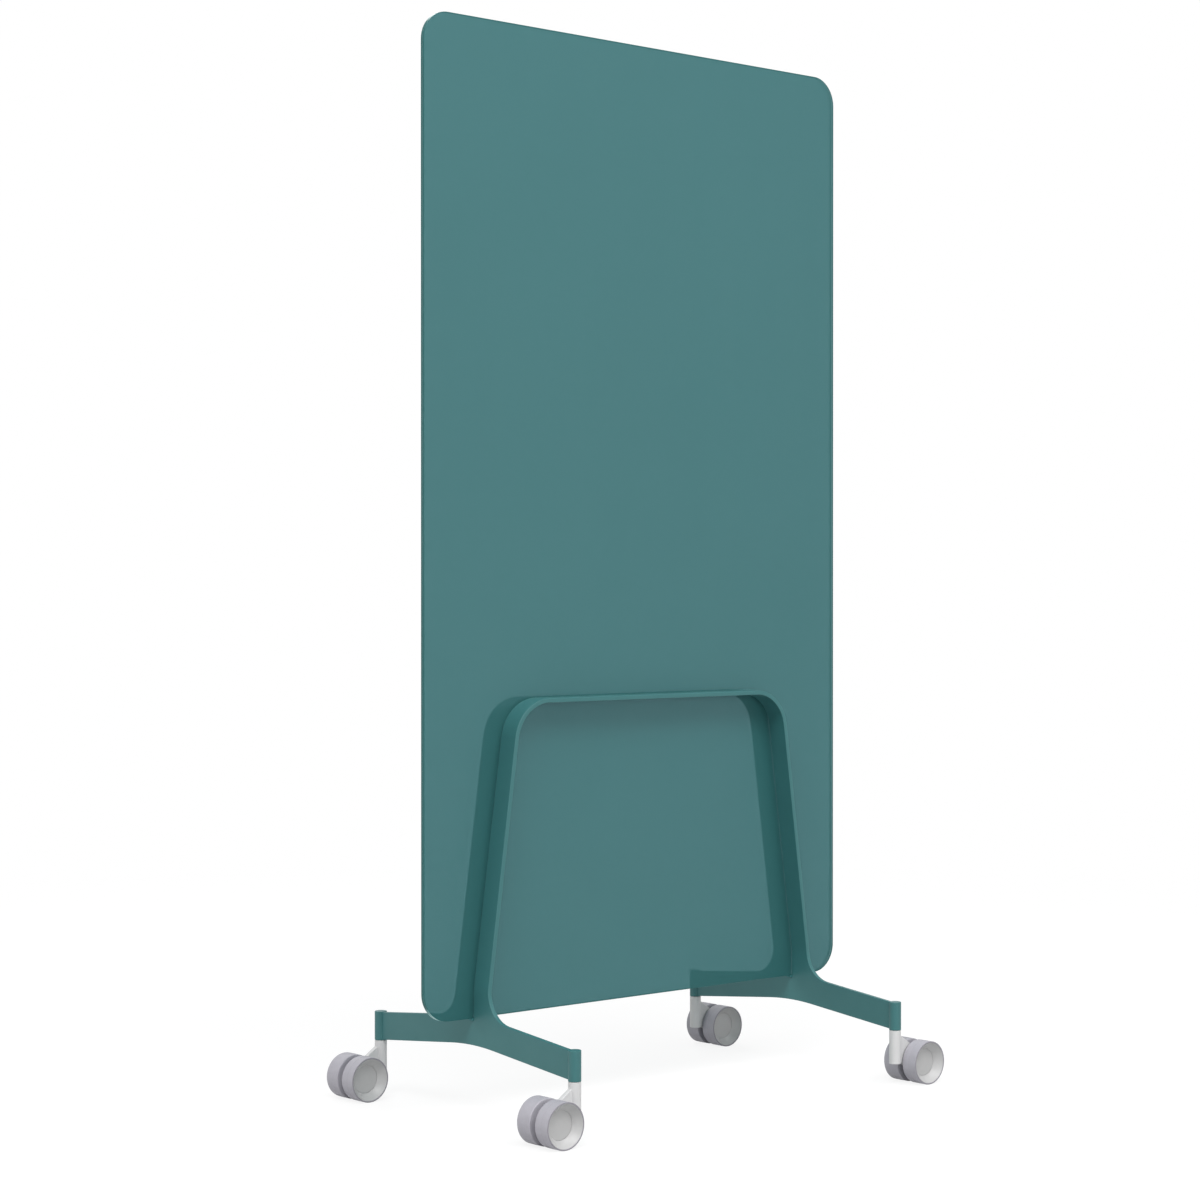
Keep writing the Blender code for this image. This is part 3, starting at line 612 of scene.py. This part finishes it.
class GLASSBOARD_OT_glass(bpy.types.Operator):
    """Builds the two panes and the film between them."""

    bl_idname = "glassboard.glass"
    bl_label = "Glass"

    def execute(self, context):
        chosen = context.scene.board.glass
        outer, edge = etched_glass(), glass_edge()
        inner = clear_layer("bonded_glass_face", chosen.pane_clear)
        panes = (("front", PANE_LOW, PANE_HIGH, -1), ("rear", REAR_PANE_LOW, REAR_PANE_HIGH, 1))
        for name, low, high, side in panes:
            bm = extruded(board_outline(low, high, chosen.corner_radius), low.y, high.y)
            round_rims(bm, chosen.arris)
            bm.normal_update()
            bmesh.ops.recalc_face_normals(bm, faces=bm.faces[:])
            for face in bm.faces:
                facing = face.normal.y * side
                face.material_index = 0 if facing > SQUARE_ON else 1 if facing < -SQUARE_ON else 2
            mesh = finished(name + "_pane", bm, outer, inner, edge)
            add_piece(name + "_pane", mesh, "frame", [name + "_glass_pane"])
        bm = extruded(board_outline(FILM_LOW, FILM_HIGH, chosen.corner_radius - chosen.film_inset),
                      FILM_LOW.y, FILM_HIGH.y)
        mesh = finished("film", bm, clear_layer("laminating_film", chosen.film_clear))
        add_piece("film", mesh, "frame", ["colour_interlayer"])
        return {"FINISHED"}


def foot_levels(chosen):
    """Heights of a foot plate: its top edge, its underside and the start of the bend."""
    middle = (SOCKET_LOW.z + SOCKET_HIGH.z) / 2 + (FOOT_REACH - SOCKET_RADIUS) * tan(chosen.slope)
    half = chosen.foot_depth / 2 / cos(chosen.slope)
    return middle + half, middle - half, middle + half + chosen.bend_rise


def fillet_foot(chosen):
    """Where the fillet meets the sloping top of an arm, as (y, z)."""
    top = foot_levels(chosen)[0]
    across = HOOP_HIGH.y + chosen.fillet_radius * (1 - sin(chosen.slope))
    return across, top - across * tan(chosen.slope)


def weld_height(chosen):
    """Height of the weld between upstand and hoop, on the plate before it is bent."""
    bend_end = foot_levels(chosen)[2] + chosen.bend_radius * chosen.lean
    fillet_end = fillet_foot(chosen)[1] + chosen.fillet_radius * cos(chosen.slope)
    return max(bend_end, fillet_end) + chosen.tail


def bent(chosen, height):
    """Where a flat height goes in the bend, as (x, z) on the plate's middle, and the lean there."""
    start = foot_levels(chosen)[2]
    angle = min(max((height - start) / chosen.bend_radius, 0), chosen.lean)
    past = max(height - start - chosen.bend_radius * chosen.lean, 0)
    x = FOOT_X - chosen.bend_radius * (1 - cos(angle)) - past * sin(angle)
    z = min(height, start) + chosen.bend_radius * sin(angle) + past * cos(angle)
    return x, z, angle


def hoop_path(chosen, start):
    """Middle line of a hoop from the right foot to the left, as (x, z, direction out of the loop)."""
    start_x, start_z, lean = bent(chosen, start)
    radius = chosen.hoop_radius
    centre_z = HOOP_HIGH.z - chosen.bar / 2 - radius
    rise = centre_z + radius * sin(lean) - start_z
    centre_x = start_x - rise * tan(lean) - radius * cos(lean)
    right = [(start_x, start_z, lean)]
    for step in range(CORNER_STEPS + 1):
        angle = lean + (pi / 2 - lean) * step / CORNER_STEPS
        right.append((centre_x + radius * cos(angle), centre_z + radius * sin(angle), angle))
    return right + [(-x, z, pi - angle) for x, z, angle in reversed(right)]


def bonded_path(chosen):
    """Middle line of a bonding strip: up one upstand, round the hoop and down the other upstand."""
    foot, weld = foot_levels(chosen)[0], weld_height(chosen)
    upstand = [bent(chosen, foot + (weld - foot) * step / BEND_STEPS) for step in range(BEND_STEPS)]
    return upstand + hoop_path(chosen, weld) + [(-x, z, pi - angle) for x, z, angle in reversed(upstand)]


def swept(path, section):
    """Sweeps a section of (out of the loop, depth) points along a path."""
    bm = bmesh.new()
    rings = []
    for x, z, angle in path:
        rings.append([bm.verts.new((x + out * cos(angle), y, z + out * sin(angle))) for out, y in section])
    for before, after in zip(rings, rings[1:]):
        for index in range(len(section)):
            following = (index + 1) % len(section)
            bm.faces.new((before[index], before[following], after[following], after[index]))
    bm.faces.new(rings[0])
    bm.faces.new(rings[-1])
    return bm


class GLASSBOARD_OT_hoops(bpy.types.Operator):
    """Builds the two hoops and their bonding strips."""

    bl_idname = "glassboard.hoops"
    bl_label = "Hoops"

    def execute(self, context):
        chosen = context.scene.board.frame
        paint, tape = powder_coat(), bonding_strip()
        path, bonded = hoop_path(chosen, weld_height(chosen)), bonded_path(chosen)
        half = chosen.bar / 2
        soft, close = chosen.round_edge, chosen.close_edge
        thin = half - chosen.strip_inset
        for name, side in (("front", -1), ("rear", 1)):
            near, far = side * HOOP_LOW.y, side * HOOP_HIGH.y
            section = rounded([
                (half, near, close), (half, far, soft), (-half, far, soft), (-half, near, close)])
            mesh = finished(name + "_hoop_bar", swept(path, section), paint)
            add_piece(name + "_hoop_bar", mesh, "frame", [name + "_hoop"])
            near, far = side * STRIP_LOW.y, side * STRIP_HIGH.y
            section = [(thin, near), (thin, far), (-thin, far), (-thin, near)]
            mesh = finished(name + "_tape", swept(bonded, section), tape)
            add_piece(name + "_tape", mesh, "frame", [name + "_bonding_strip"])
        return {"FINISHED"}


def foot_outline(chosen):
    """Outline of a flat foot plate as (y, z), the same in front and behind."""
    top, underside, _ = foot_levels(chosen)
    end = FOOT_REACH - SOCKET_RADIUS + chosen.weld_reach
    crown = underside - chosen.arch_radius / cos(chosen.slope)
    points = arc(0, crown, chosen.arch_radius, pi / 2, pi / 2 - chosen.slope, ARCH_STEPS)
    points.append((end, underside - end * tan(chosen.slope)))
    points.append((end, top - end * tan(chosen.slope)))
    foot_y, foot_z = fillet_foot(chosen)
    centre_y = HOOP_HIGH.y + chosen.fillet_radius
    centre_z = foot_z + chosen.fillet_radius * cos(chosen.slope)
    start = atan2(foot_z - centre_z, foot_y - centre_y)
    points += arc(centre_y, centre_z, chosen.fillet_radius, start, -pi, FILLET_STEPS)
    weld = weld_height(chosen)
    points += [(HOOP_HIGH.y, weld), (HOOP_LOW.y, weld), (HOOP_LOW.y, top)]
    points.append((chosen.slot_half, top - (HOOP_LOW.y - chosen.slot_half)))
    points.append((chosen.slot_half, top - chosen.slot_depth))
    return points + [(-y, z) for y, z in reversed(points) if y > 0]


def foot_mesh(chosen, side, paint):
    """One foot plate, rounded along its edges and bent above the arms."""
    half = chosen.bar / 2
    weld = weld_height(chosen)
    bm = bmesh.new()
    face = bm.faces.new([bm.verts.new((-half, y, z)) for y, z in foot_outline(chosen)])
    moved = bmesh.ops.extrude_face_region(bm, geom=[face])["geom"]
    verts = [item for item in moved if isinstance(item, bmesh.types.BMVert)]
    bmesh.ops.translate(bm, verts=verts, vec=(chosen.bar, 0, 0))
    end = max(vert.co.y for vert in bm.verts)
    # The edges that are welded to a hoop or a socket stay sharp
    round_rims(bm, chosen.round_edge, lambda edge: all(
        abs(vert.co.z - weld) < SAME_PLACE or abs(abs(vert.co.y) - end) < SAME_PLACE for vert in edge.verts))
    start = foot_levels(chosen)[2]
    run = chosen.bend_radius * chosen.lean
    for step in range(BEND_STEPS + 1):
        height = start + run * step / BEND_STEPS
        everything = bm.verts[:] + bm.edges[:] + bm.faces[:]
        bmesh.ops.bisect_plane(bm, geom=everything, plane_co=(0, 0, height), plane_no=(0, 0, 1))
    for vert in bm.verts:
        off = vert.co.x
        x, z, angle = bent(chosen, vert.co.z)
        vert.co.x = side * (x + off * cos(angle))
        vert.co.z = z + off * sin(angle)
    return finished("foot", bm, paint)


class GLASSBOARD_OT_feet(bpy.types.Operator):
    """Builds the two foot plates, and repaints the pads that carry the glass."""

    bl_idname = "glassboard.feet"
    bl_label = "Feet"

    def execute(self, context):
        chosen = context.scene.board.frame
        paint, rubber = powder_coat(), pad_rubber()
        for hand, side in (("left", -1), ("right", 1)):
            mesh = foot_mesh(chosen, side, paint)
            add_piece(hand + "_foot", mesh, "frame", [hand + "_foot_plate"])
            repaint(hand + "_setting_block", rubber)
        return {"FINISHED"}


class GLASSBOARD_OT_sockets(bpy.types.Operator):
    """Builds the four castor sockets, and repaints their bushes."""

    bl_idname = "glassboard.sockets"
    bl_label = "Sockets"

    def execute(self, context):
        chosen = context.scene.board.frame
        bore = SOCKET_RADIUS - chosen.socket_wall
        low, high = SOCKET_LOW.z, SOCKET_HIGH.z
        roof = high - chosen.socket_roof
        profile = rounded([
            (0, high, 0),
            (0, roof, 0),
            (bore, roof, 0),
            (bore, low, chosen.bore_edge),
            (SOCKET_RADIUS, low, chosen.rim_edge),
            (SOCKET_RADIUS, high, chosen.round_edge),
        ])
        mesh = finished("socket", turned(profile, TUBE_FACETS), powder_coat())
        nylon = natural_nylon()
        for corner, side, depth in corners():
            place = Matrix.Translation((side * FOOT_X, depth * FOOT_REACH, 0))
            add_piece(corner + "_tube", mesh, "frame", [corner + "_socket"], place)
            repaint(corner + "_bush", nylon)
        return {"FINISHED"}


def tangent_angle(chosen, height, side):
    """Angle round the hub where a line from the post's side touches it. Side is 1 above and -1 below."""
    away_x = POST_RADIUS - TRAIL
    away_z = height - AXLE_HEIGHT
    return atan2(away_z, away_x) - side * acos(chosen.hub_radius / hypot(away_x, away_z))


def web_outline(chosen):
    """Side view of the web, from inside the post round the hub."""
    root = POST_RADIUS / 2
    top = YOKE_HIGH.z - chosen.web_drop
    bottom = chosen.post_foot + chosen.post_edge
    upper = tangent_angle(chosen, top, 1)
    lower = tangent_angle(chosen, bottom, -1) - 2 * pi
    points = [(POST_RADIUS, bottom), (root, bottom), (root, top), (POST_RADIUS, top)]
    return points + arc(TRAIL, AXLE_HEIGHT, chosen.hub_radius, upper, lower, CORNER_STEPS)


class GLASSBOARD_OT_castors(bpy.types.Operator):
    """Builds the four yokes, and repaints their stems and axles."""

    bl_idname = "glassboard.castors"
    bl_label = "Castors"

    def execute(self, context):
        chosen = context.scene.board.castor
        soft = chosen.post_edge
        low, high = chosen.post_foot, YOKE_HIGH.z
        profile = rounded([(0, high, 0), (0, low, 0), (POST_RADIUS, low, soft), (POST_RADIUS, high, soft)])
        bm = turned(profile, TUBE_FACETS)
        web = extruded(web_outline(chosen), -chosen.web_thickness / 2, chosen.web_thickness / 2)
        round_rims(web, chosen.web_round)
        helper = bpy.data.meshes.new("web")
        web.to_mesh(helper)
        web.free()
        bm.from_mesh(helper)
        bpy.data.meshes.remove(helper)
        mesh = finished("yoke", bm, moulded_nylon())
        steel = turned_steel()
        for corner, side, depth in corners():
            place = castor_place(side, depth)
            add_piece(corner + "_fork", mesh, corner + "_castor", [corner + "_yoke"], place)
            repaint(corner + "_stem", steel)
            repaint(corner + "_axle", steel)
        return {"FINISHED"}


def tyre_mesh(chosen, rubber):
    """The tyre: a flange inside, rounded shoulders, a flat lip round the dish and the moulding line."""
    bore = WHEEL_RADIUS - chosen.tyre_depth
    tread = WHEEL_RADIUS - chosen.parting
    middle = (WHEEL_INNER + WHEEL_OUTER) / 2
    step = WHEEL_INNER + chosen.recess - chosen.parting
    profile = rounded([
        (bore, step, 0),
        (chosen.flange_radius, step, 0),
        (chosen.flange_radius, WHEEL_INNER, chosen.flange_edge),
        (tread, WHEEL_INNER, chosen.tyre_shoulder),
        (tread, middle - chosen.parting, 0),
        (WHEEL_RADIUS, middle, 0),
        (tread, middle + chosen.parting, 0),
        (tread, WHEEL_OUTER, chosen.lip_round),
        (WHEEL_RADIUS - chosen.tyre_lip, WHEEL_OUTER, chosen.lip_edge),
        (bore, WHEEL_OUTER - chosen.lip_depth, 0),
    ])
    return finished("tyre", turned(profile, RING_FACETS, "Y"), rubber)


def dish_wall(chosen, mouth_height):
    """The bowed wall of the dish from its mouth down to the disc, as (radius, height)."""
    bottom = WHEEL_OUTER - chosen.dish_depth
    across = WHEEL_RADIUS - chosen.tyre_lip - chosen.disc_radius
    rise = mouth_height - bottom
    slope = atan2(rise, across)
    radius = hypot(rise, across) / 2 / sin(chosen.dish_bow / 2)
    start = slope - chosen.dish_bow / 2 - pi / 2
    centre_u = chosen.disc_radius - radius * cos(start)
    centre_v = bottom - radius * sin(start)
    return arc(centre_u, centre_v, radius, start + chosen.dish_bow, start, FILLET_STEPS)


def core_mesh(chosen, nylon):
    """The wheel core: a drum with a deep dish, whose wall is slightly bowed."""
    drum = WHEEL_RADIUS - chosen.tyre_depth
    wall = dish_wall(chosen, WHEEL_OUTER - chosen.core_edge)
    seat = WHEEL_OUTER - chosen.dish_depth - chosen.disc_thickness
    profile = rounded([
        (chosen.bore, BOSS_FACE, 0),
        (chosen.boss_radius, BOSS_FACE, chosen.core_edge),
        (chosen.boss_radius, WHEEL_INNER + chosen.recess, chosen.core_edge),
        (drum, WHEEL_INNER + chosen.recess, 0),
        (drum, WHEEL_OUTER - chosen.lip_depth, 0),
        *[(radius, height, 0) for radius, height in wall[:-1]],
        (*wall[-1], chosen.disc_edge),
        (chosen.disc_radius, seat, 0),
        (chosen.bore, seat, 0),
    ])
    return finished("core", turned(profile, RING_FACETS, "Y"), nylon)


def disc_mesh(chosen, plastic):
    """The disc at the bottom of the dish: slightly crowned, with a rounded edge."""
    floor = WHEEL_OUTER - chosen.dish_depth
    seat = floor - chosen.disc_thickness
    radius = chosen.disc_radius - chosen.parting
    shares = (3 / 4, 1 / 2, 1 / 4, 0)
    crown = [(radius * share, floor - chosen.disc_crown * share ** 2, 0) for share in shares]
    profile = rounded([
        (0, seat + chosen.parting, 0),
        (radius, seat + chosen.parting, 0),
        (radius, floor - chosen.disc_crown, chosen.disc_edge),
        *crown,
    ])
    return finished("disc", turned(profile, RING_FACETS, "Y"), plastic)


class GLASSBOARD_OT_wheels(bpy.types.Operator):
    """Builds the eight wheels: cores, tyres and discs."""

    bl_idname = "glassboard.wheels"
    bl_label = "Wheels"

    def execute(self, context):
        chosen = context.scene.board.wheel
        pieces = (
            ("core", core_mesh(chosen, core_nylon_painted_shade()), "castor_plastic", "wheel_core"),
            ("tread", tyre_mesh(chosen, tyre_rubber()), "tyre_rubber", "tyre"),
            ("disc", disc_mesh(chosen, disc_plastic()), "disc_plastic", "hub_disc"),
        )
        for corner, side, depth in corners():
            hub = castor_place(side, depth) @ Matrix.Translation((TRAIL, 0, AXLE_HEIGHT))
            for local in (-1, 1):
                position = "outer" if local * side * depth > 0 else "inner"
                wheel = corner + "_" + position
                place = hub @ Matrix.Rotation(0 if local > 0 else pi, 4, "Z")
                for name, mesh, slot, node in pieces:
                    add_piece(wheel + "_" + name, mesh, wheel + "_wheel", [wheel + "_" + node], place)
        return {"FINISHED"}


def seen_directly(tree):
    """1 for rays from the camera, from gloss and through glass, and 0 for the light itself."""
    path = add_node(tree, "ShaderNodeLightPath")
    seen = path.outputs["Is Camera Ray"]
    for kind in ("Is Glossy Ray", "Is Transmission Ray"):
        most = add_node(tree, "ShaderNodeMath", {0: seen, 1: path.outputs[kind]}, operation="MAXIMUM")
        seen = most.outputs["Value"]
    return seen


def stage_floor(chosen):
    """A pale floor that fades out into the white around it, and keeps the shadow."""
    bm = bmesh.new()
    bmesh.ops.create_circle(bm, cap_ends=True, segments=RING_FACETS, radius=chosen.floor_radius)
    made, tree, output = new_material("pale_floor")
    place = add_node(tree, "ShaderNodeTexCoord").outputs["Object"]
    far = add_node(tree, "ShaderNodeVectorMath", {0: place}, operation="LENGTH").outputs["Value"]
    fade = add_node(tree, "ShaderNodeMapRange", {
        "Value": far, "From Min": chosen.floor_clear, "From Max": chosen.floor_radius * FADE_END},
        interpolation_type="SMOOTHSTEP")
    matt = add_node(tree, "ShaderNodeBsdfDiffuse", {"Color": (*chosen.floor_colour, 1)})
    part = toned(chosen.floor_colour, chosen.shadow)
    shaded = add_node(tree, "ShaderNodeBsdfDiffuse", {"Color": (*part, 1)})
    lift = add_node(tree, "ShaderNodeEmission", {"Color": (1, 1, 1, 1), "Strength": chosen.lift})
    white = add_node(tree, "ShaderNodeAddShader", {0: shaded.outputs["BSDF"], 1: lift.outputs["Emission"]})
    shown = add_node(tree, "ShaderNodeMixShader", {
        0: seen_directly(tree), 1: matt.outputs["BSDF"], 2: white.outputs["Shader"]})
    clear = add_node(tree, "ShaderNodeBsdfTransparent")
    mixed = add_node(tree, "ShaderNodeMixShader", {
        0: fade.outputs["Result"], 1: shown.outputs["Shader"], 2: clear.outputs["BSDF"]})
    tree.links.new(mixed.outputs["Shader"], output.inputs["Surface"])
    mesh = finished("floor", bm, made)
    floor = bpy.data.objects.new("floor", mesh)
    bpy.context.scene.collection.objects.link(floor)


def stage_world(chosen):
    """Even light from all round, in front of a white background."""
    world = bpy.data.worlds.new("studio")
    bpy.context.scene.world = world
    world.use_nodes = True
    tree = world.node_tree
    tree.nodes.clear()
    output = add_node(tree, "ShaderNodeOutputWorld")
    light = add_node(tree, "ShaderNodeBackground", {"Color": (1, 1, 1, 1), "Strength": chosen.sky})
    white = add_node(tree, "ShaderNodeBackground", {"Color": (1, 1, 1, 1), "Strength": 1.0})
    mixed = add_node(tree, "ShaderNodeMixShader", {
        0: seen_directly(tree), 1: light.outputs["Background"], 2: white.outputs["Background"]})
    tree.links.new(mixed.outputs["Shader"], output.inputs["Surface"])


def stage_lamp(name, energy, width, height, place, aim):
    """A large soft lamp that faces a point."""
    data = bpy.data.lights.new(name, "AREA")
    data.energy = energy
    data.shape = "RECTANGLE"
    data.size = width
    data.size_y = height
    lamp = bpy.data.objects.new(name, data)
    bpy.context.scene.collection.objects.link(lamp)
    lamp.location = place
    away = lamp.location - aim
    lamp.rotation_euler = away.to_track_quat("Z", "Y").to_euler()
    lamp.visible_camera = False


class GLASSBOARD_OT_stage(bpy.types.Operator):
    """Sets up the floor, the light and the camera."""

    bl_idname = "glassboard.stage"
    bl_label = "Stage"

    def execute(self, context):
        chosen = context.scene.board.stage
        stage_floor(chosen)
        stage_world(chosen)
        middle = (PANE_LOW + PANE_HIGH) / 2
        for name, (width, height, place) in LAMPS.items():
            stage_lamp(name + "_softbox", getattr(chosen, name), width, height, place, middle)
        data = bpy.data.cameras.new("camera")
        data.lens = chosen.lens
        data.sensor_width = 36
        camera = bpy.data.objects.new("camera", data)
        context.scene.collection.objects.link(camera)
        camera.location = chosen.camera_place
        camera.rotation_euler = (chosen.pitch, 0, chosen.heading)
        context.scene.camera = camera
        context.scene.view_settings.view_transform = "Standard"
        return {"FINISHED"}


OPERATORS = (
    GLASSBOARD_OT_glass,
    GLASSBOARD_OT_hoops,
    GLASSBOARD_OT_feet,
    GLASSBOARD_OT_sockets,
    GLASSBOARD_OT_castors,
    GLASSBOARD_OT_wheels,
    GLASSBOARD_OT_stage,
)


class GLASSBOARD_PT_panel(bpy.types.Panel):
    """Lists the pieces with their sizes and colours."""

    bl_idname = "GLASSBOARD_PT_panel"
    bl_label = "Glass Board"
    bl_space_type = "VIEW_3D"
    bl_region_type = "UI"
    bl_category = "Glass Board"

    def draw(self, context):
        layout = self.layout
        for operator in OPERATORS:
            layout.operator(operator.bl_idname)
        board = context.scene.board
        for group in (board.glass, board.frame, board.castor, board.wheel, board.stage):
            box = layout.box()
            for name in group.bl_rna.properties.keys():
                if name not in ("rna_type", "name"):
                    box.prop(group, name)


CLASSES = (
    GlassSettings,
    FrameSettings,
    CastorSettings,
    WheelSettings,
    StageSettings,
    BoardSettings,
    *OPERATORS,
    GLASSBOARD_PT_panel,
)


def register():
    """Registers the classes and the board's settings."""
    for item in CLASSES:
        bpy.utils.register_class(item)
    bpy.types.Scene.board = PointerProperty(type=BoardSettings)


def unregister():
    """Takes the settings and the classes out again."""
    del bpy.types.Scene.board
    for item in reversed(CLASSES):
        bpy.utils.unregister_class(item)


def main():
    """Builds everything."""
    register()
    bpy.ops.glassboard.glass()
    bpy.ops.glassboard.hoops()
    bpy.ops.glassboard.feet()
    bpy.ops.glassboard.sockets()
    bpy.ops.glassboard.castors()
    bpy.ops.glassboard.wheels()
    bpy.ops.glassboard.stage()
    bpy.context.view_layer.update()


if __name__ == "__main__":
    main()
